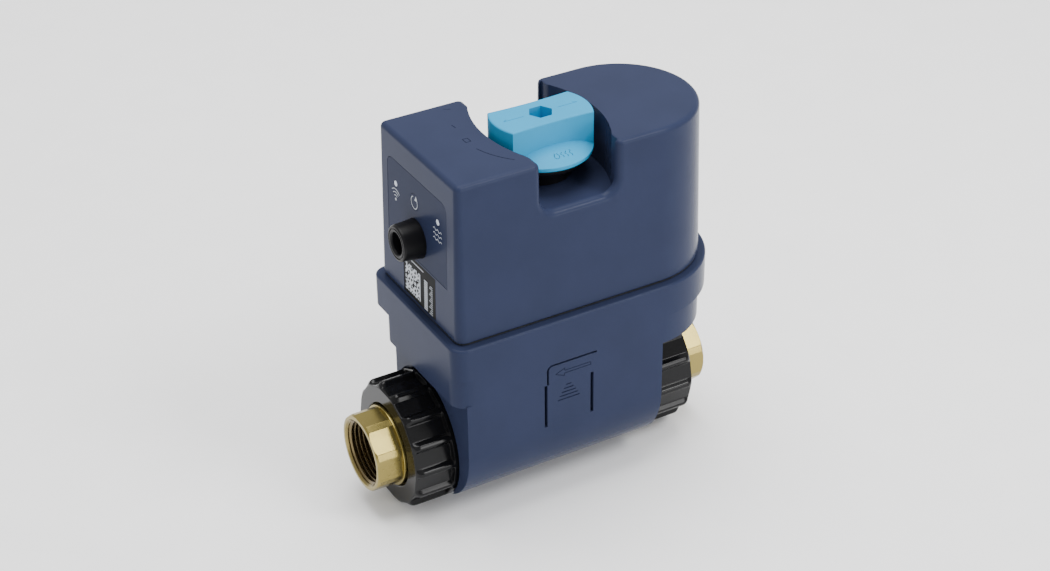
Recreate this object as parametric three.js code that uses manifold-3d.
// Motorized ball-valve actuator for a domestic water pipe, with its valve, flow sensor and pipe unions.
// Millimetres. The origin is the centre of the ball: X runs along the pipe, Z up the valve stem.
import * as THREE from 'three';
import { mergeVertices } from 'three/addons/utils/BufferGeometryUtils.js';
import Module from 'manifold-3d';

const wasm = await Module();
wasm.setup();

// ---------------------------------------------------------------- driving dimensions
const GAP = 0.3; // running and assembly gap between neighbouring pieces
const WALL = 2.8; // moulded wall of the case
const PITCH = Math.PI / 180;

// case, seen from above: a flat near end (-X) with small corners and a half-round far end (+X)
const NEAR_X = -70; // near end of the cover at its rim
const FAR_CENTRE_X = 45; // centre of the half-round far end
const COVER_HALF = 41.5; // half the cover's width at its rim, and the radius of its far end
const COVER_CORNER = 5;
const RIM_Z = 76; // where the cover meets the lower housing
const COVER_TOP = 161;
const COVER_FILLET = 3;
const DRAFT = 1.36 * PITCH;
const LIP = 3.9; // how far the lower housing's lip stands out from the cover
const LIP_TOP = 75;
const LIP_BOTTOM = 57;

// lower housing under the lip: flush with it at the front and near end, stepped in at the rear and far end
const BODY_FRONT_Y = -(COVER_HALF + LIP);
const BODY_REAR_Y = 32.2;
const BODY_HALF = (BODY_REAR_Y - BODY_FRONT_Y) / 2;
const BODY_MID_Y = (BODY_REAR_Y + BODY_FRONT_Y) / 2;
const BLOCK_BOTTOM = 41.3; // underside of the overhanging block
const SHROUD_NEAR_X = -68.5; // the deep lower part that wraps the valve
const SHROUD_FAR_X = 44.5;
const SHROUD_ARC_Z = 10.3; // centre of its half-round bottom
const SHROUD_SPLIT_Y = 0; // rear shell and lower housing meet on this plane

// well and notches for the override knob
const WELL_FLOOR = 132;
const NOTCH_NEAR_X = -22.4;
const NOTCH_FAR_X = 19.8;
const NOTCH_CORNER = 7;
const WELL_NEAR_ARC = { x: 38, r: 69 };
const WELL_FAR_ARC = { x: -34.1, r: 63.5 };

// override knob
const KNOB_R = 25.8;
const KNOB_BOTTOM = 145.2;
const KNOB_TOP = 165;
const KNOB_BAR_HALF = 11.7;
const HEX_KEY_FLATS = 11;

// gear train: module and teeth of each mesh
const OUTPUT = { teeth: 48, module: 1.25 };
const IDLER_SMALL = { teeth: 12, module: 1.25 };
const IDLER_LARGE = { teeth: 48, module: 0.75 };
const MOTOR_PINION = { teeth: 12, module: 0.75 };
const PRESSURE_ANGLE = 25 * PITCH;
const BACKLASH = 0.16; // in modules
const IDLER_X = ((OUTPUT.teeth + IDLER_SMALL.teeth) / 2) * OUTPUT.module;
const MOTOR_X = IDLER_X + ((IDLER_LARGE.teeth + MOTOR_PINION.teeth) / 2) * IDLER_LARGE.module;
const PLATE = 2.2; // thickness of both gearbox plates
const BASE_PLATE_Z = 79.3; // underside
const TOP_PLATE_Z = 99; // underside
const OUTPUT_GEAR_Z = 83;
const GEAR_WIDTH = 8;
const IDLER_WHEEL_Z = 91.8;
const IDLER_WHEEL_WIDTH = 5.2;
const SHAFT_R = 8;
const SHAFT_FLAT = 6.6; // half the shaft's width across the flats that drive the gear

// valve
const BALL_R = 19;
const BALL_BORE_R = 12.2;
const WATERWAY_R = 12.5;
const CHAMBER_R = 20;
const CHAMBER_WALL_R = 23.5;
const PIPE_R = 17;
const THREAD_R = 25.4; // plain cylinder standing for the union thread
const SEAT_POCKET_R = 17.5;
const SEAT_STOP_X = 17.2; // where each seat backs onto the waterway's shoulder
const STEM_R = 5.5;
const STEM_BORE_R = 5.8;
const BONNET_TOP = 36;

// pipe unions, in their own frame: s = 0 at the nut's outer face, growing towards the valve
const NEAR_NUT_X = -91.1;
const FAR_NUT_X = 73.2;
const NUT_LENGTH = 24.4;
const NUT_RIB_R = 33.9;
const NUT_PANEL_R = 31.4; // the flat panels between the ribs
const NUT_BAND = 4; // plain band behind the panels
const NUT_RIBS = 14;
const NUT_TURN = 11.9; // degrees, where the nut has come to rest
const NUT_HOLE_R = 22.2;
const NUT_LIP = 4; // thickness of the inward lip that pulls on the tailpiece
const TAIL_OUT = 15.2; // how far the tailpiece stands out of the nut
const TAIL_FLATS = 39.3; // across the eight flats
const TAIL_FLATS_END = -1.3;
const TAIL_THREAD_R = 16.85; // 1 inch tapered pipe thread at the mouth
const TAIL_COLLAR_R = 21.4;
const TAIL_FLANGE_R = 25;
const UNION_FACE = 9.3; // where the valve's own end face sits

// near end face fittings, measured up the drafted face from the rim
const FITTINGS_Y = 0.8;
const SOCKET_Z = 38.6;
const LED_Z = 58.2;
const LED_SPREAD = 21.7;
const RESET_Z = 57.5;

// ---------------------------------------------------------------- colours
const material = (colour, roughness, metalness) =>
  new THREE.MeshStandardMaterial({ color: colour, roughness, metalness });
const NAVY = material(0x33425f, 0.35, 0);
const SKY = material(0x72b4d8, 0.45, 0);
const BLACK = material(0x16171a, 0.3, 0);
const BRASS = material(0xb9a877, 0.3, 1);
const STEEL = material(0xb8babd, 0.3, 1);
const CHROME = material(0xd5d7da, 0.12, 1);
const ACETAL = material(0xe9e6da, 0.5, 0);
const RUBBER = material(0x1b1b1c, 0.8, 0);
const BOARD_GREEN = material(0x1f5a3a, 0.5, 0);
const SEAT = material(0xf2f2ef, 0.4, 0);
const PANEL = material(0x2c3a57, 0.3, 0);
const LENS = material(0xdfe8f2, 0.2, 0);
const GREY = material(0x6e747c, 0.5, 0);

// ---------------------------------------------------------------- mesh helpers
// Positions only, shared corners merged, slivers dropped and faces pointing out.
function tidy(geometry) {
  const bare = geometry.clone();
  for (const name of Object.keys(bare.attributes)) if (name !== 'position') bare.deleteAttribute(name);
  bare.clearGroups();
  const merged = mergeVertices(bare, 1e-4);
  const index = merged.index.array;
  const position = merged.attributes.position;
  const corner = (i) => new THREE.Vector3().fromBufferAttribute(position, i);
  const kept = [];
  let volume = 0;
  for (let i = 0; i < index.length; i += 3) {
    const [a, b, c] = [index[i], index[i + 1], index[i + 2]];
    if (a === b || b === c || c === a) continue;
    kept.push(a, b, c);
    volume += corner(a).dot(corner(b).cross(corner(c)));
  }
  if (volume < 0) kept.reverse();
  const result = new THREE.BufferGeometry();
  result.setAttribute('position', position);
  result.setIndex(kept);
  return result;
}

const solid = (geometry) => {
  const closed = tidy(geometry);
  return new wasm.Manifold(
    new wasm.Mesh({
      numProp: 3,
      vertProperties: new Float32Array(closed.attributes.position.array),
      triVerts: new Uint32Array(closed.index.array),
    }),
  );
};

function fromSolid(manifold) {
  const mesh = manifold.getMesh();
  const geometry = new THREE.BufferGeometry();
  geometry.setAttribute('position', new THREE.BufferAttribute(mesh.vertProperties, 3));
  geometry.setIndex(new THREE.BufferAttribute(mesh.triVerts, 1));
  return geometry;
}

// base + each piece of add, then - each piece of cut
function carve(base, cut = [], add = []) {
  let result = solid(base);
  for (const piece of add) result = result.add(solid(piece));
  for (const piece of cut) result = result.subtract(solid(piece));
  return fromSolid(result);
}

const common = (a, b) => fromSolid(solid(a).intersect(solid(b)));

function box(x0, x1, y0, y1, z0, z1) {
  const geometry = new THREE.BoxGeometry(x1 - x0, y1 - y0, z1 - z0);
  return geometry.translate((x0 + x1) / 2, (y0 + y1) / 2, (z0 + z1) / 2);
}

// Turned piece about Z from a closed profile of [radius, height] points.
function turned(profile, segments = 24) {
  const points = profile.map(([r, z]) => new THREE.Vector2(r, z));
  const [first, last] = [points[0], points[points.length - 1]];
  if (first.x > 0 || last.x > 0) points.push(first.clone());
  return new THREE.LatheGeometry(points, segments).rotateX(Math.PI / 2);
}

// The same about X: the profile's heights run along +X.
const turnedX = (profile, segments = 24) => turned(profile, segments).rotateY(Math.PI / 2);

const rod = (r, z0, z1, segments = 20) =>
  turned([[0, z0], [r, z0], [r, z1], [0, z1]], segments);
const rodX = (r, x0, x1, segments = 20) => rod(r, x0, x1, segments).rotateY(Math.PI / 2);
const tube = (rIn, rOut, z0, z1, segments = 20) =>
  turned([[rIn, z0], [rOut, z0], [rOut, z1], [rIn, z1]], segments);
const tubeX = (rIn, rOut, x0, x1, segments = 20) => tube(rIn, rOut, x0, x1, segments).rotateY(Math.PI / 2);

function prism(points, z0, z1) {
  const shape = points instanceof THREE.Shape ? points : new THREE.Shape(points);
  const extruded = new THREE.ExtrudeGeometry(shape, {
    depth: z1 - z0, bevelEnabled: false, curveSegments: 12,
  });
  return extruded.translate(0, 0, z0);
}

// Outline given as (y, z) points, swept along X.
function prismX(points, x0, x1) {
  const turn = new THREE.Matrix4().set(0, 0, 1, 0, 1, 0, 0, 0, 0, 1, 0, 0, 0, 0, 0, 1);
  return prism(points, x0, x1).applyMatrix4(turn);
}

// Outline given as (x, z) points, swept along Y.
function prismY(points, y0, y1) {
  const turn = new THREE.Matrix4().set(1, 0, 0, 0, 0, 0, -1, 0, 0, 1, 0, 0, 0, 0, 0, 1);
  return prism(points, -y1, -y0).applyMatrix4(turn);
}

function polygon(sides, acrossFlats, turn = 0) {
  const r = acrossFlats / 2 / Math.cos(Math.PI / sides);
  return Array.from({ length: sides }, (_, i) => {
    const a = turn + (2 * Math.PI * i) / sides;
    return new THREE.Vector2(r * Math.cos(a), r * Math.sin(a));
  });
}

// Closed skin through rings of points with equal counts, capped at both ends.
function loft(rings) {
  const count = rings[0].length;
  const positions = rings.flat().flatMap((p) => [p.x, p.y, p.z]);
  const index = [];
  for (let r = 0; r + 1 < rings.length; r++) {
    for (let i = 0; i < count; i++) {
      const j = (i + 1) % count;
      const [a, b, c, d] = [r * count + i, r * count + j, (r + 1) * count + j, (r + 1) * count + i];
      index.push(a, b, c, a, c, d);
    }
  }
  const cap = (ring, offset, flip) => {
    const flat = ring.map((p) => new THREE.Vector2(p.x, p.y));
    for (const [a, b, c] of THREE.ShapeUtils.triangulateShape(flat, [])) {
      index.push(offset + a, offset + (flip ? c : b), offset + (flip ? b : c));
    }
  };
  cap(rings[0], 0, true);
  cap(rings[rings.length - 1], (rings.length - 1) * count, false);
  const geometry = new THREE.BufferGeometry();
  geometry.setAttribute('position', new THREE.Float32BufferAttribute(positions, 3));
  geometry.setIndex(index);
  return geometry;
}

const arcPoints = (cx, cy, r, from, to, steps) =>
  Array.from({ length: steps + 1 }, (_, i) => {
    const a = from + ((to - from) * i) / steps;
    return new THREE.Vector2(cx + r * Math.cos(a), cy + r * Math.sin(a));
  });

// Case outline seen from above: flat near end, half-round far end about farX, anticlockwise.
function caseOutline({ half, near, farX = FAR_CENTRE_X, midY = 0, front = COVER_CORNER, rear = front }) {
  return [
    ...arcPoints(farX, midY, half, -Math.PI / 2, Math.PI / 2, 18),
    ...arcPoints(near + rear, midY + half - rear, rear, Math.PI / 2, Math.PI, 3),
    ...arcPoints(near + front, midY - half + front, front, Math.PI, 1.5 * Math.PI, 3),
  ];
}

const coverOutline = (inset) =>
  caseOutline({
    half: COVER_HALF - inset, near: NEAR_X + inset, front: Math.max(COVER_CORNER - inset, 1.5),
  });
const lift = (outline, z) => outline.map((p) => new THREE.Vector3(p.x, p.y, z));
const caseSlab = (outline, z0, z1) => loft([lift(outline, z0), lift(outline, z1)]);

// Pieces on the near end face are drawn with +X going into the case and Z up the face.
const ontoEndFace = (geometry) =>
  geometry.rotateY(DRAFT).translate(NEAR_X, 0, RIM_Z);

// ---------------------------------------------------------------- assembly
const assembly = new THREE.Group();
function place(name, geometry, look) {
  const mesh = new THREE.Mesh(tidy(geometry), look);
  mesh.name = name;
  assembly.add(mesh);
  return mesh;
}

// Screw with its head up at z = 0, shank down; a hex socket in the head.
function screwShape(headR, headH, shankR, length) {
  const body = turned([[0, -length], [shankR, -length], [shankR, 0], [headR, 0], [headR, headH], [0, headH]], 10);
  return carve(body, [prism(polygon(6, headR), headH * 0.45, headH + 1)]);
}

function screw(name, [x, y, z], size, aim = null) {
  const geometry = screwShape(size.head, size.headH, size.shank, size.length);
  if (aim) geometry.applyQuaternion(new THREE.Quaternion().setFromUnitVectors(new THREE.Vector3(0, 0, 1), aim));
  place(name, geometry.translate(x, y, z), STEEL);
}

// ---------------------------------------------------------------- case screws and where they sit
const COVER_SCREWS = [[-58, 35], [-14, 36], [56, 34.3]];
const COVER_SCREW = { head: 3.2, headH: 2.4, shank: 1.5, length: 16 };
const COVER_BOSS_TOP = 92;
const HEAD_SEAT_Z = 70; // underside of the web that each cover screw clamps
const BOARD_X = -58; // face of the main board towards the near end
const BOARD_POSTS = [[26, 146], [-26, 90], [-26, 146], [26, 90]];
const BOARD_SCREW = { head: 2.5, headH: 1.8, shank: 1.2, length: 7 };
const REAR_SCREWS = [[-59.5, 36], [36.5, 36]];
const REAR_SCREW = { head: 2.8, headH: 2.2, shank: 1.2, length: 13 };
const REAR_SEAT_Y = 6; // web of the rear shell that its screws clamp
const GEARBOX_SCREWS = [[-36, 20], [-36, -20], [63.5, 20], [63.5, -20]];
const GEARBOX_SCREW = { head: 2.8, headH: 2, shank: 1.5, length: 25 };
const MOTOR_SCREWS = [[MOTOR_X, 9], [MOTOR_X, -9]];
const MOTOR_SCREW = { head: 2.2, headH: 1.6, shank: 1.1, length: 6.5 };

// ---------------------------------------------------------------- upper cover
function wellPlan(grow) {
  const { x: nx, r: nr } = WELL_NEAR_ARC;
  const { x: fx, r: fr } = WELL_FAR_ARC;
  const reach = COVER_HALF + 8;
  const nearA = Math.asin(reach / (nr + grow));
  const farA = Math.asin(reach / (fr + grow));
  return [
    ...arcPoints(fx, 0, fr + grow, -farA, farA, 12),
    ...arcPoints(nx, 0, nr + grow, Math.PI - nearA, Math.PI + nearA, 12),
  ];
}

function notchShape(grow, top) {
  const shape = new THREE.Shape();
  const [x0, x1, floor] = [NOTCH_NEAR_X - grow, NOTCH_FAR_X + grow, WELL_FLOOR - grow];
  const r = NOTCH_CORNER;
  shape.moveTo(x0, top);
  shape.lineTo(x0, floor + r);
  shape.absarc(x0 + r, floor + r, r, Math.PI, 1.5 * Math.PI, false);
  shape.absarc(x1 - r, floor + r, r, 1.5 * Math.PI, 2 * Math.PI, false);
  shape.lineTo(x1, top);
  return shape;
}

function upperCover() {
  const sideInset = (z) => (z - RIM_Z) * Math.tan(DRAFT);
  const shoulder = COVER_TOP - COVER_FILLET;
  const fillet = [0, 45, 90].map((deg) => {
    const a = deg * PITCH;
    return lift(
      coverOutline(sideInset(shoulder) + COVER_FILLET * (1 - Math.cos(a))),
      shoulder + COVER_FILLET * Math.sin(a),
    );
  });
  const outside = loft([lift(coverOutline(0), RIM_Z), ...fillet]);
  const ceiling = COVER_TOP - WALL;
  const inside = loft([
    lift(coverOutline(WALL), RIM_Z - 1),
    lift(coverOutline(WALL + sideInset(ceiling)), ceiling),
  ]);
  // the knob's well: a lens-shaped pit between two arcs, open to the front and rear through the notches
  const wellHeight = [WELL_FLOOR, COVER_TOP + 5];
  const openWell = common(
    prism(wellPlan(0), ...wellHeight),
    prismY(notchShape(14, COVER_TOP + 5), -COVER_HALF - 3, COVER_HALF + 3),
  );
  const well = common(openWell, box(-60, 60, -COVER_HALF + WALL + 1.2, COVER_HALF - WALL - 1.2, 100, 170));
  const notch = prismY(notchShape(0, COVER_TOP + 5), -COVER_HALF - 3, COVER_HALF + 3);
  const wellWalls = prism(wellPlan(2.5), WELL_FLOOR - 2.5, COVER_TOP + 5);
  const room = carve(inside, [wellWalls]);
  const bosses = COVER_SCREWS.map(([x, y]) => rod(4, RIM_Z - 0.4, COVER_BOSS_TOP, 16).translate(x, y, 0));
  const bossWebs = COVER_SCREWS.map(([x, y]) => box(x - 1, x + 1, y, y + 4.5, RIM_Z, COVER_BOSS_TOP));
  const bossHoles = COVER_SCREWS.map(([x, y]) => rod(1.8, RIM_Z - 1, COVER_BOSS_TOP - 3, 12).translate(x, y, 0));
  const posts = BOARD_POSTS.map(([y, z]) => rodX(3, NEAR_X + 2.5, BOARD_X - GAP, 12).translate(0, y, z));
  const postHoles = BOARD_POSTS.map(([y, z]) => rodX(1.5, BOARD_X - 7, BOARD_X, 12).translate(0, y, z));
  const holes = [
    rod(12, WELL_FLOOR - 5, WELL_FLOOR + 1),
    ontoEndFace(rodX(8.8, -2, 6).translate(0, FITTINGS_Y, SOCKET_Z)),
    ontoEndFace(rodX(4.6, -2, 6, 24).translate(0, FITTINGS_Y + 2, RESET_Z)),
    ...[-1, 1].map((side) =>
      ontoEndFace(rodX(1.9, -2, 6, 12).translate(0, FITTINGS_Y + side * LED_SPREAD, LED_Z))),
    ontoEndFace(panelPlate(-1, 1, 0)),
    ontoEndFace(labelPlate(-1, 0.8, 0)),
  ];
  const shell = carve(outside, [room], []);
  return carve(shell, [well, notch, ...holes, ...bossHoles, ...postHoles], [...bosses, ...bossWebs, ...posts]);
}

// Overlay panel outline on the end face: rounded top corners, square bottom ones.
function panelPlate(x0, x1, shrink) {
  const [y0, y1, z0, z1, r] = [-30.1 + shrink, 31.1 - shrink, 25.8 + shrink, 71.2 - shrink, 5 - shrink];
  return prismX([
    new THREE.Vector2(y0, z0), new THREE.Vector2(y1, z0),
    ...arcPoints(y1 - r, z1 - r, r, 0, Math.PI / 2, 4),
    ...arcPoints(y0 + r, z1 - r, r, Math.PI / 2, Math.PI, 4),
  ], x0, x1);
}

function labelPlate(x0, x1, shrink) {
  return box(x0, x1, -18 + shrink, 15.6 - shrink, 1.6 + shrink, 25 - shrink);
}

// ---------------------------------------------------------------- lower housing and rear shell
const lipOutline = (grow) =>
  caseOutline({ half: COVER_HALF + grow, near: NEAR_X - grow, front: COVER_CORNER + 2.2, rear: COVER_CORNER + 2.2 });
const blockOutline = (inset) => caseOutline({
  half: BODY_HALF - inset, near: NEAR_X - LIP + inset, farX: SHROUD_FAR_X, midY: BODY_MID_Y,
  front: 9 - inset, rear: 6 - inset,
});

// The shroud's section: straight sides and a half-round bottom, as (y, z) points.
function shroudSection(inset, top) {
  const r = BODY_HALF - inset;
  return [
    new THREE.Vector2(BODY_MID_Y + r, top),
    new THREE.Vector2(BODY_MID_Y - r, top),
    ...arcPoints(BODY_MID_Y, SHROUD_ARC_Z, r, Math.PI, 2 * Math.PI, 16),
  ];
}

const PIPE_HOLE_R = PIPE_R + 0.4;
const END_WALL = 5;
const NUT_RECESS = 2.2;
const TAB = { x0: -23.5, x1: 1.7, z0: 14.1, z1: 49.5, slot: 1.6, groove: 1.1 };
const GEARBOX_RIBS = [{ x: -36, half: 37.5 }, { x: 63.5, half: 32 }]; // bridges that carry the gearbox

function housingBody() {
  const deckHalf = COVER_HALF - 4.7;
  const lip = loft([
    lift(lipOutline(LIP), LIP_BOTTOM),
    lift(lipOutline(LIP), LIP_TOP - 1.1),
    lift(lipOutline(LIP - 0.4), LIP_TOP - 0.3),
    lift(lipOutline(LIP - 1.2), LIP_TOP),
  ]);
  const block = caseSlab(blockOutline(0), BLOCK_BOTTOM, LIP_BOTTOM + 1);
  const shroud = prismX(shroudSection(0, BLOCK_BOTTOM + 1), SHROUD_NEAR_X, SHROUD_FAR_X);
  const deckOpening = caseOutline({ half: deckHalf, near: NEAR_X + 4.7, front: 2 });
  const tongueOutline = caseOutline({ half: deckHalf + 1.6, near: NEAR_X + 3.1, front: 3 });
  const lipRoom = caseOutline({ half: COVER_HALF + 1, near: NEAR_X - 1, front: 4 });
  const rooms = [
    caseSlab(lipRoom, LIP_BOTTOM + WALL, LIP_TOP - WALL),
    caseSlab(deckOpening, LIP_TOP - WALL - 1, RIM_Z + 5),
    caseSlab(blockOutline(WALL), BLOCK_BOTTOM + WALL, LIP_BOTTOM + WALL + 1),
    prismX(
      shroudSection(WALL, BLOCK_BOTTOM + WALL + 1),
      SHROUD_NEAR_X + END_WALL, SHROUD_FAR_X - END_WALL,
    ),
  ];
  const tongue = caseSlab(tongueOutline, LIP_TOP - 1, LIP_TOP + 4);
  const bosses = COVER_SCREWS.map(([x, y]) => rod(5.4, LIP_BOTTOM, LIP_TOP, 16).translate(x, y, 0));
  const ribs = GEARBOX_RIBS.map(({ x, half }) =>
    box(x - 2.5, x + 2.5, -half, half, LIP_TOP - WALL, LIP_TOP + 4));
  const holes = [
    ...COVER_SCREWS.flatMap(([x, y]) => [
      rod(3.6, LIP_BOTTOM - 1, HEAD_SEAT_Z, 16).translate(x, y, 0),
      rod(1.9, HEAD_SEAT_Z - 1, LIP_TOP + 1, 12).translate(x, y, 0),
      rod(4.5, LIP_TOP, LIP_TOP + 6, 16).translate(x, y, 0),
    ]),
    ...GEARBOX_SCREWS.map(([x, y]) => rod(1.8, LIP_TOP - WALL - 1, LIP_TOP + 5, 12).translate(x, y, 0)),
    rodX(PIPE_HOLE_R, SHROUD_NEAR_X - 1, SHROUD_FAR_X + 1, 24),
    rodX(NUT_RIB_R + 1, SHROUD_NEAR_X - 1, SHROUD_NEAR_X + NUT_RECESS, 32),
  ];
  const outer = carve(lip, [], [block, shroud, tongue]);
  const hollow = carve(outer, rooms);
  return carve(hollow, holes, [...bosses, ...ribs]);
}

// Everything of the shroud behind the split plane, below the block, belongs to the rear shell.
const rearHalf = (gap) =>
  box(-90, 60, SHROUD_SPLIT_Y + gap, 60, -60, BLOCK_BOTTOM - gap);

// A boss for one rear screw, tied into the nearer end wall.
function rearBoss([x, z], y0, y1) {
  const half = 4;
  const [x0, x1] = x < 0 ? [SHROUD_NEAR_X + END_WALL - 1, x + half] : [x - half, SHROUD_FAR_X - END_WALL + 1];
  return box(x0, x1, y0, y1, z - half, z + half);
}

const rodY = (r, y0, y1, segments) => rod(r, y0, y1, segments).rotateX(-Math.PI / 2);

// Tab outline as (x, z) points; grow widens it into the opening that the tab sits in.
function tabOutline(opening) {
  const { x0, x1, z0, z1, slot, groove } = TAB;
  const [side, shoulder, edge] = opening ? [slot, slot, groove] : [0, 1.2, 0];
  const stepZ = 39.2;
  const r = 2.2 + edge;
  const left = x0 + 0.9 - edge;
  return [
    new THREE.Vector2(x0 - side, opening ? z0 - GAP : z0),
    new THREE.Vector2(x1 + side, opening ? z0 - GAP : z0),
    new THREE.Vector2(x1 + side, stepZ - 1),
    new THREE.Vector2(x1 + shoulder, stepZ - 1),
    new THREE.Vector2(x1 + shoulder, z1 + edge),
    ...arcPoints(left + r, z1 + edge - r, r, Math.PI / 2, Math.PI, 4),
    new THREE.Vector2(left, stepZ),
    new THREE.Vector2(x0 - side, stepZ),
  ].filter((p, i, all) => !p.equals(all[(i + 1) % all.length]));
}

function lowerHousing() {
  const tabHole = prismY(tabOutline(true), BODY_FRONT_Y - 1, BODY_FRONT_Y + WALL + 1);
  const grooveEnd = box(TAB.x1, 5.1, BODY_FRONT_Y - 1, BODY_FRONT_Y + WALL + 1, TAB.z1, TAB.z1 + TAB.groove);
  const bosses = REAR_SCREWS.map((at) => rearBoss(at, -9, SHROUD_SPLIT_Y));
  const holes = REAR_SCREWS.map(([x, z]) => rodY(1.5, -8, 1, 12).translate(x, 0, z));
  const front = carve(housingBody(), [rearHalf(0), tabHole, grooveEnd]);
  return carve(front, holes, bosses);
}

function rearShell() {
  const bosses = REAR_SCREWS.map((at) => rearBoss(at, SHROUD_SPLIT_Y + GAP, BODY_REAR_Y - 1));
  const holes = REAR_SCREWS.flatMap(([x, z]) => [
    rodY(1.6, -1, REAR_SEAT_Y + 1, 12).translate(x, 0, z),
    rodY(3.3, REAR_SEAT_Y, BODY_REAR_Y + 1, 16).translate(x, 0, z),
  ]);
  return carve(common(housingBody(), rearHalf(GAP)), holes, bosses);
}

function coverGasket() {
  const shape = new THREE.Shape(caseOutline({ half: COVER_HALF - 0.5, near: NEAR_X + 0.5 }));
  shape.holes.push(new THREE.Path(caseOutline({ half: COVER_HALF - 2.7, near: NEAR_X + 2.7, front: 3.4 })));
  const bossCuts = COVER_SCREWS.map(([x, y]) => rod(4.8, LIP_TOP, RIM_Z, 16).translate(x, y, 0));
  return carve(prism(shape, LIP_TOP + GAP, RIM_Z - GAP), bossCuts);
}

place('upper_cover', upperCover(), NAVY);
place('lower_housing', lowerHousing(), NAVY);
place('rear_shell', rearShell(), NAVY);

place('cover_gasket', coverGasket(), RUBBER);
place('release_tab', prismY(tabOutline(false), BODY_FRONT_Y, BODY_FRONT_Y + WALL), NAVY);

const UP = new THREE.Vector3(0, 0, 1);
COVER_SCREWS.forEach(([x, y], i) =>
  screw(`cover_screw_${i + 1}`, [x, y, HEAD_SEAT_Z - GAP], COVER_SCREW, UP.clone().negate()));
REAR_SCREWS.forEach(([x, z], i) =>
  screw(`rear_screw_${i + 1}`, [x, REAR_SEAT_Y + GAP, z], REAR_SCREW, new THREE.Vector3(0, 1, 0)));

// ---------------------------------------------------------------- near end face: panel, label, lights, reset, power
const FITTINGS = [
  { y: FITTINGS_Y, z: SOCKET_Z, r: 10.3 },
  { y: FITTINGS_Y + 2, z: RESET_Z, r: 4.6 },
  { y: FITTINGS_Y - LED_SPREAD, z: LED_Z, r: 1.9 },
  { y: FITTINGS_Y + LED_SPREAD, z: LED_Z, r: 1.9 },
];
const onFace = (geometry, y, z) => ontoEndFace(geometry.translate(0, y, z));

function endPanel() {
  const holes = FITTINGS.map(({ y, z, r }) => rodX(r, -1, 2, 20).translate(0, y, z));
  return ontoEndFace(carve(panelPlate(0.05, 0.65, 0.3), holes));
}

function powerSocket() {
  const profile = [
    [0, 9.5], [8.4, 9.5], [8.4, 0.7], [10, 0.7], [10, -1], [9.3, -10.5], [8.6, -11.2],
    [6.2, -11.2], [5.6, -10.6], [5.6, -0.6], [0, -0.6],
  ];
  return onFace(turnedX(profile, 24), FITTINGS_Y, SOCKET_Z);
}

function powerPin() {
  const profile = [[0, -0.9], [5.3, -0.9], [5.3, -2], [1.1, -2.2], [1.1, -6.6], [0, -7]];
  return onFace(turnedX(profile, 12), FITTINGS_Y, SOCKET_Z);
}

const powerNut = () =>
  onFace(carve(prismX(polygon(6, 21), 3.2, 6.2), [rodX(8.7, 2, 8)]), FITTINGS_Y, SOCKET_Z);

function resetButton() {
  const profile = [[0, 0.05], [4.3, 0.05], [4.3, 3.3], [5.4, 3.3], [5.4, 4.3], [1.5, 4.3], [1.5, 6], [0, 6]];
  return onFace(turnedX(profile, 24), FITTINGS_Y + 2, RESET_Z);
}

place('end_panel_overlay', endPanel(), PANEL);
place('label_plate', ontoEndFace(labelPlate(0.02, 0.5, 0.3)), BLACK);
place('status_led_flow', onFace(rodX(1.6, 0.05, 9.6, 16), FITTINGS_Y - LED_SPREAD, LED_Z), LENS);
place('status_led_network', onFace(rodX(1.6, 0.05, 9.6, 16), FITTINGS_Y + LED_SPREAD, LED_Z), LENS);
place('reset_button', resetButton(), PANEL);
place('power_socket', powerSocket(), BLACK);
place('power_socket_nut', powerNut(), BLACK);
place('power_socket_pin', powerPin(), BRASS);

// ---------------------------------------------------------------- electronics
const BOARD_T = 1.6;
const BOARD = { y: 30, z0: 84, z1: 152 };

function mainBoard() {
  const face = BOARD_X + BOARD_T;
  const holes = BOARD_POSTS.map(([y, z]) => rodX(1.5, BOARD_X - 1, face + 1, 12).translate(0, y, z));
  const radioModule = box(face - 0.2, face + 2.8, -12, 12, 124, 146);
  const supply = box(face - 0.2, face + 9, -14, 6, 92, 108);
  return carve(box(BOARD_X, face, -BOARD.y, BOARD.y, BOARD.z0, BOARD.z1), holes, [radioModule, supply]);
}

const switchZ = RIM_Z + RESET_Z;
place('main_board', mainBoard(), BOARD_GREEN);
place('reset_switch', box(-61.4, BOARD_X - GAP, -0.2, 5.8, switchZ - 3, switchZ + 3), BLACK);
BOARD_POSTS.slice(0, 2).forEach(([y, z], i) =>
  screw(`board_screw_${i + 1}`, [BOARD_X + BOARD_T + GAP, y, z], BOARD_SCREW, new THREE.Vector3(1, 0, 0)));

// ---------------------------------------------------------------- gearbox
// Involute outline with a tooth centred on angle `phase`.
function gearOutline({ teeth, module: m }, phase) {
  const pitchR = (teeth * m) / 2;
  const baseR = pitchR * Math.cos(PRESSURE_ANGLE);
  const [rootR, tipR] = [pitchR - 1.25 * m, pitchR + m];
  const involute = (a) => Math.tan(a) - a;
  const halfAngle = (r) => {
    const a = r > baseR ? Math.acos(baseR / r) : 0;
    return Math.PI / (2 * teeth) - (BACKLASH * m) / (2 * pitchR) + involute(PRESSURE_ANGLE) - involute(a);
  };
  const start = Math.max(baseR, rootR);
  const radii = [...(rootR < start ? [rootR] : []), start, (start + tipR) / 2, tipR];
  const points = [];
  for (let i = 0; i < teeth; i++) {
    const middle = phase + (2 * Math.PI * i) / teeth;
    const corner = (r, side) => {
      const a = middle + side * halfAngle(r);
      return new THREE.Vector2(r * Math.cos(a), r * Math.sin(a));
    };
    points.push(...radii.map((r) => corner(r, -1)), ...[...radii].reverse().map((r) => corner(r, 1)));
  }
  return points;
}

function gear(spec, z0, z1, phase = 0) {
  return prism(gearOutline(spec, phase), z0, z1);
}

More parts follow.
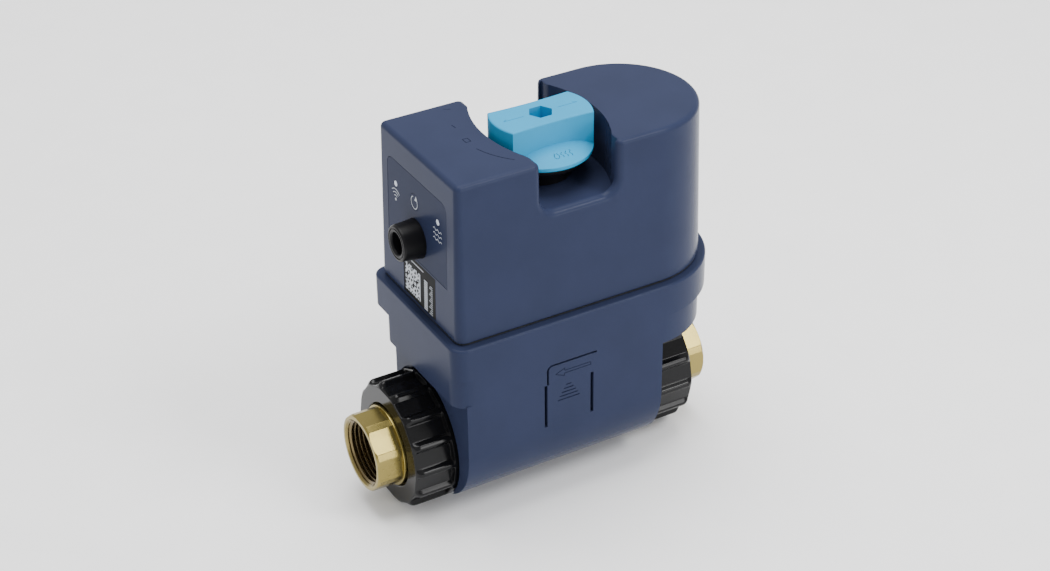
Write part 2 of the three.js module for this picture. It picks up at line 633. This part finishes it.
// A gap, not a tooth, must face the mating gear's tooth on the line of centres.
const meshPhase = ({ teeth }) => (teeth % 2 === 0 ? Math.PI / teeth : 0);

const plateOutline = () => caseOutline({ half: 36, near: -42, farX: 39, front: 6 });
const gearboxHoles = (z0, z1, r) => GEARBOX_SCREWS.map(([x, y]) => rod(r, z0, z1, 12).translate(x, y, 0));

function gearboxBase() {
  const top = BASE_PLATE_Z + PLATE;
  const pillars = gearboxHoles(top - 0.5, TOP_PLATE_Z - GAP, 3);
  const cuts = [
    ...gearboxHoles(BASE_PLATE_Z - 1, TOP_PLATE_Z + 1, 1.8),
    ...COVER_SCREWS.map(([x, y]) => rod(4.8, BASE_PLATE_Z - 1, top + 1, 16).translate(x, y, 0)),
    rod(SHAFT_R + 0.5, BASE_PLATE_Z - 1, top + 1, 24),
    rod(2.3, BASE_PLATE_Z + 0.6, top + 1, 12).translate(IDLER_X, 0, 0),
  ];
  return carve(caseSlab(plateOutline(), BASE_PLATE_Z, top), cuts, pillars);
}

function gearboxTop() {
  const [z0, z1] = [TOP_PLATE_Z, TOP_PLATE_Z + PLATE];
  const cuts = [
    ...gearboxHoles(z0 - 1, z1 + 1, 1.8),
    ...MOTOR_SCREWS.map(([x, y]) => rod(1.4, z0 - 1, z1 + 1, 12).translate(x, y, 0)),
    rod(SHAFT_R + 0.5, z0 - 1, z1 + 1, 24),
    rod(2.3, z0 - 1, z1 - 0.6, 12).translate(IDLER_X, 0, 0),
    rod(3, z0 - 1, z1 + 1, 16).translate(MOTOR_X, 0, 0),
  ];
  return carve(caseSlab(plateOutline(), z0, z1), cuts);
}

function outputGear() {
  const bore = common(rod(SHAFT_R + GAP, 80, 95), box(-10, 10, -SHAFT_FLAT - GAP, SHAFT_FLAT + GAP, 80, 95));
  return carve(gear(OUTPUT, OUTPUT_GEAR_Z, OUTPUT_GEAR_Z + GEAR_WIDTH), [bore]);
}

function idlerGear() {
  const wheelTop = IDLER_WHEEL_Z + IDLER_WHEEL_WIDTH;
  const pinion = gear(IDLER_SMALL, OUTPUT_GEAR_Z, IDLER_WHEEL_Z + 1, meshPhase(IDLER_SMALL));
  const wheel = gear(IDLER_LARGE, IDLER_WHEEL_Z, wheelTop);
  return carve(wheel, [rod(2.3, 80, 100, 12)], [pinion]).translate(IDLER_X, 0, 0);
}

function motorPinion() {
  const pinion = gear(MOTOR_PINION, IDLER_WHEEL_Z, TOP_PLATE_Z - GAP, meshPhase(MOTOR_PINION));
  return carve(pinion, [], [rod(1.2, IDLER_WHEEL_Z + 1, 125, 12)]).translate(MOTOR_X, 0, 0);
}

function motorCan() {
  const z0 = TOP_PLATE_Z + PLATE + GAP;
  const profile = [[0, z0], [13, z0], [14, z0 + 1], [14, 137], [13, 138], [5, 138], [5, 141], [0, 141]];
  const holes = MOTOR_SCREWS.map(([, y]) => rod(1.4, z0 - 1, z0 + 5, 12).translate(0, y, 0));
  return carve(turned(profile, 20), [rod(1.6, z0 - 1, 127, 12), ...holes]).translate(MOTOR_X, 0, 0);
}

function driveShaft() {
  const body = turned([
    [0, 44], [SHAFT_R, 44], [SHAFT_R, WELL_FLOOR + 6], [6.5, WELL_FLOOR + 6], [6.5, 152], [0, 152],
  ], 20);
  const flats = [-1, 1].map((side) =>
    box(-10, 10, side > 0 ? SHAFT_FLAT : -10, side > 0 ? 10 : -SHAFT_FLAT,
      OUTPUT_GEAR_Z - GAP, OUTPUT_GEAR_Z + GEAR_WIDTH + GAP));
  return carve(body, [...flats, box(-4.3, 4.3, -4.3, 4.3, 40, 52.3)]);
}

place('gearbox_base', gearboxBase(), GREY);
place('gearbox_top', gearboxTop(), GREY);
place('output_gear', outputGear(), ACETAL);
place('idler_gear', idlerGear(), ACETAL);
place('idler_pin', rod(2, BASE_PLATE_Z + 0.9, TOP_PLATE_Z + PLATE - 0.9, 16).translate(IDLER_X, 0, 0), STEEL);
place('motor_can', motorCan(), STEEL);
place('motor_pinion', motorPinion(), BRASS);
place('drive_shaft', driveShaft(), STEEL);
place('magnet_ring', tube(SHAFT_R + GAP, 12, 103, 107, 24), BLACK);
place('position_sensor_board', box(-14.1, -12.5, -8, 8, TOP_PLATE_Z + PLATE + GAP, 112), BOARD_GREEN);
GEARBOX_SCREWS.forEach(([x, y], i) =>
  screw(`gearbox_screw_${i + 1}`, [x, y, TOP_PLATE_Z + PLATE + GAP], GEARBOX_SCREW, UP));
MOTOR_SCREWS.forEach(([x, y], i) =>
  screw(`motor_screw_${i + 1}`, [x, y, TOP_PLATE_Z - GAP], MOTOR_SCREW, UP.clone().negate()));

// ---------------------------------------------------------------- override knob
function overrideKnob() {
  const dome = turned([
    [0, KNOB_BOTTOM], [KNOB_R - 0.8, KNOB_BOTTOM], [KNOB_R, KNOB_BOTTOM + 0.8], [KNOB_R, KNOB_BOTTOM + 2.2],
    [KNOB_BAR_HALF - 0.6, 153.2], [0, 153.2],
  ], 36);
  const sagitta = 0.9; // each long side of the grip bar is hollow by this much
  const end = Math.sqrt(KNOB_R ** 2 - (KNOB_BAR_HALF + sagitta) ** 2);
  const sideR = (end ** 2 + sagitta ** 2) / (2 * sagitta);
  const sideA = Math.asin(end / sideR);
  const endA = Math.atan2(KNOB_BAR_HALF + sagitta, end);
  const side = (sign) => arcPoints(0, sign * (KNOB_BAR_HALF + sideR), sideR,
    sign > 0 ? -Math.PI / 2 + sideA : Math.PI / 2 + sideA,
    sign > 0 ? -Math.PI / 2 - sideA : Math.PI / 2 - sideA, 10);
  const outline = [
    ...arcPoints(0, 0, KNOB_R, -endA, endA, 8).slice(1, -1),
    ...side(1),
    ...arcPoints(0, 0, KNOB_R, Math.PI - endA, Math.PI + endA, 8).slice(1, -1),
    ...side(-1),
  ];
  const shrink = (by, z) => outline.map((p) => {
    const q = p.clone().multiplyScalar(1 - by / p.length());
    return new THREE.Vector3(q.x, q.y, z);
  });
  const bar = loft([shrink(0, KNOB_BOTTOM + 0.8), shrink(0, KNOB_TOP - 1), shrink(1, KNOB_TOP)]);
  const key = prism(polygon(6, HEX_KEY_FLATS), KNOB_TOP - 8.5, KNOB_TOP + 1);
  return carve(dome, [key, rod(6.8, KNOB_BOTTOM - 1, 152.3)], [bar]);
}

function knobCollar() {
  return turned([
    [SHAFT_R + 0.4, WELL_FLOOR - 6], [11.7, WELL_FLOOR - 6], [11.7, WELL_FLOOR + GAP], [14.5, WELL_FLOOR + GAP],
    [14.5, WELL_FLOOR + 6], [20, 139.5], [21.3, 141], [21.3, 143.6], [20.3, 144.6], [SHAFT_R + 0.4, 144.6],
  ], 24);
}

place('override_knob', overrideKnob(), SKY);
place('knob_collar', knobCollar(), BLACK);

// ---------------------------------------------------------------- ball valve
function valveBody() {
  const outside = turnedX([
    [0, NEAR_NUT_X + UNION_FACE], [THREAD_R, NEAR_NUT_X + UNION_FACE], [THREAD_R, SHROUD_NEAR_X + 1],
    [PIPE_R, SHROUD_NEAR_X + 1], [PIPE_R, -24], [CHAMBER_WALL_R, -19], [CHAMBER_WALL_R, 24], [0, 24],
  ], 24);
  const inside = turnedX([
    [0, -90], [WATERWAY_R, -90], [WATERWAY_R, -SEAT_STOP_X], [SEAT_POCKET_R, -SEAT_STOP_X], [SEAT_POCKET_R, -9],
    [CHAMBER_R, -9], [CHAMBER_R, 25], [0, 25],
  ], 24);
  const stemWay = turned([
    [0, 10], [STEM_BORE_R, 10], [STEM_BORE_R, 31], [8.3, 31], [8.3, BONNET_TOP + 1], [0, BONNET_TOP + 1],
  ], 24);
  return carve(outside, [inside, stemWay], [rod(11, 19, BONNET_TOP)]);
}

function endAdapter() {
  const end = FAR_NUT_X - UNION_FACE;
  return turnedX([
    [WATERWAY_R, SEAT_STOP_X], [SEAT_POCKET_R, SEAT_STOP_X], [SEAT_POCKET_R, 9.5], [CHAMBER_R - GAP, 9.5],
    [CHAMBER_R - GAP, 24.3], [CHAMBER_WALL_R, 24.3], [CHAMBER_WALL_R, 30], [PIPE_R, 30], [PIPE_R, end - 9.9],
    [THREAD_R, end - 9.9], [THREAD_R, end], [WATERWAY_R, end],
  ], 24);
}

function ball() {
  const sphere = new THREE.SphereGeometry(BALL_R, 20, 12);
  return carve(sphere, [rodX(BALL_BORE_R, -BALL_R - 1, BALL_R + 1, 20), box(-3.1, 3.1, -14, 14, 16, 20)]);
}

function seatRing(side) {
  const ring = turnedX([[12.7, 14.6], [15.5, 11.6], [17.2, 11.6], [17.2, 16.9], [12.7, 16.9]], 20);
  return side < 0 ? ring.rotateZ(Math.PI) : ring;
}

function valveStem() {
  const shaft = turned([
    [0, 20.3], [STEM_R, 20.3], [STEM_R, 24.2], [3.9, 24.2], [3.9, 26.4], [STEM_R, 26.4], [STEM_R, 43.7], [0, 43.7],
  ], 20);
  return carve(shaft, [], [box(-2.8, 2.8, -5.4, 5.4, 16.3, 20.8), box(-4, 4, -4, 4, 43, 52)]
    .map((piece) => common(piece, rod(STEM_R + 0.2, 0, 60))));
}

function stemRing() {
  const section = arcPoints(4.85, 25.3, 0.65, 0, 2 * Math.PI, 6).slice(0, -1).map((p) => [p.x, p.y]);
  return turned(section, 16);
}

function glandNut() {
  const spigot = rod(8, 31.3, BONNET_TOP + 0.6, 24);
  return carve(prism(polygon(6, 20), BONNET_TOP + GAP, 41.5), [rod(STEM_BORE_R, 30, 43, 20)], [spigot]);
}

place('valve_body', valveBody(), BRASS);
place('end_adapter', endAdapter(), BRASS);
place('ball', ball(), CHROME);
place('ball_seat_near', seatRing(-1), SEAT);
place('ball_seat_far', seatRing(1), SEAT);
place('valve_stem', valveStem(), STEEL);
place('stem_oring', stemRing(), RUBBER);
place('gland_nut', glandNut(), BRASS);

// ---------------------------------------------------------------- flow sensor in the near neck
const ROTOR = { x0: -55, x1: -38, hub: 3.4, tip: 11.3, blades: 5, pitch: 25 * PITCH };
const SPIDERS = { near: [-61.5, -57.5], far: [-35.5, -31.5] };

function spider([x0, x1]) {
  const arms = [0, 1].map((i) => box(x0 + 0.2, x1 - 0.2, -11.3, 11.3, -0.7, 0.7).rotateX((i * Math.PI) / 2));
  return carve(tubeX(10.8, WATERWAY_R - GAP, x0, x1), [rodX(1.3, x0 - 1, x1 + 1, 12)], [rodX(3, x0, x1, 16), ...arms]);
}

function flowRotor() {
  const middle = (ROTOR.x0 + ROTOR.x1) / 2;
  const blades = Array.from({ length: ROTOR.blades }, (_, i) =>
    box(-6, 6, -0.6, 0.6, ROTOR.hub - 1, ROTOR.tip)
      .rotateZ(ROTOR.pitch)
      .rotateX((2 * Math.PI * i) / ROTOR.blades)
      .translate(middle, 0, 0));
  return carve(rodX(ROTOR.hub, ROTOR.x0, ROTOR.x1, 16), [rodX(1.3, -70, -20, 12)], blades);
}

place('flow_rotor', flowRotor(), ACETAL);
place('rotor_axle', rodX(1, -60.5, -32.5, 12), STEEL);
place('flow_guide_near', spider(SPIDERS.near), ACETAL);
place('flow_guide_far', spider(SPIDERS.far), ACETAL);
place('flow_pickup', box(-53, -41, -6, 6, PIPE_R + GAP, 25), BLACK);

// ---------------------------------------------------------------- pipe unions
// Nut outline in (y, z): flat panels between raised ribs.
function nutOutline(ribR, panelR) {
  return Array.from({ length: NUT_RIBS }, (_, i) => {
    const middle = (2 * Math.PI * i) / NUT_RIBS + THREE.MathUtils.degToRad(NUT_TURN);
    return [[-3, panelR], [-1.2, ribR], [1.2, ribR], [3, panelR]].map(([across, r]) => {
      const a = middle + across / NUT_RIB_R;
      return new THREE.Vector3(r * Math.cos(a), r * Math.sin(a), 0);
    });
  }).flat();
}

function unionNut() {
  const ring = (s, ribR, panelR) => nutOutline(ribR, panelR).map((p) => new THREE.Vector3(p.x, p.y, s));
  const band = NUT_LENGTH - NUT_BAND;
  const outside = loft([
    ring(0, NUT_PANEL_R - 0.3, NUT_PANEL_R - 0.3), ring(0.8, NUT_RIB_R - 1.4, NUT_PANEL_R), ring(3, NUT_RIB_R, NUT_PANEL_R),
    ring(band, NUT_RIB_R, NUT_PANEL_R), ring(band + 0.3, NUT_RIB_R, NUT_RIB_R), ring(NUT_LENGTH - 0.8, NUT_RIB_R, NUT_RIB_R),
    ring(NUT_LENGTH, NUT_RIB_R - 0.8, NUT_RIB_R - 0.8),
  ]).rotateY(Math.PI / 2);
  const bore = turnedX([
    [0, -1], [NUT_HOLE_R, -1], [NUT_HOLE_R, NUT_LIP], [THREAD_R + 0.4, NUT_LIP],
    [THREAD_R + 0.4, NUT_LENGTH + 1], [0, NUT_LENGTH + 1],
  ], 24);
  return carve(outside, [bore]);
}

function tailpiece() {
  const octagon = prismX(polygon(8, TAIL_FLATS, Math.PI / 8), -TAIL_OUT, 6);
  const trim = turnedX([[0, -TAIL_OUT], [20.3, -TAIL_OUT], [21.3, -TAIL_OUT + 1.2], [21.3, 6], [0, 6]], 32);
  const flange = turnedX([
    [0, TAIL_FLATS_END], [TAIL_COLLAR_R - 0.4, TAIL_FLATS_END], [TAIL_COLLAR_R, TAIL_FLATS_END + 0.4],
    [TAIL_COLLAR_R, NUT_LIP + GAP], [TAIL_FLANGE_R, NUT_LIP + GAP], [TAIL_FLANGE_R, NUT_LIP + 3.3], [0, NUT_LIP + 3.3],
  ], 32);
  const bore = turnedX([
    [0, -TAIL_OUT - 1], [TAIL_THREAD_R + 2, -TAIL_OUT - 1], [TAIL_THREAD_R, -TAIL_OUT + 1],
    [TAIL_THREAD_R - 0.5, 2.2], [12.7, 4.2], [12.7, 10], [0, 10],
  ], 24);
  return carve(common(octagon, trim), [bore], [flange]);
}

const gasketRing = () => tubeX(13.2, 24.8, NUT_LIP + 3.6, NUT_LIP + 5, 20);

for (const [side, x, turn] of [['near', NEAR_NUT_X, 0], ['far', FAR_NUT_X, Math.PI]]) {
  const seat = (geometry) => geometry.rotateZ(turn).translate(x, 0, 0);
  place(`union_nut_${side}`, seat(unionNut()), BLACK);
  place(`tailpiece_${side}`, seat(tailpiece()), BRASS);
  place(`union_gasket_${side}`, seat(gasketRing()), RUBBER);
}

export default assembly;
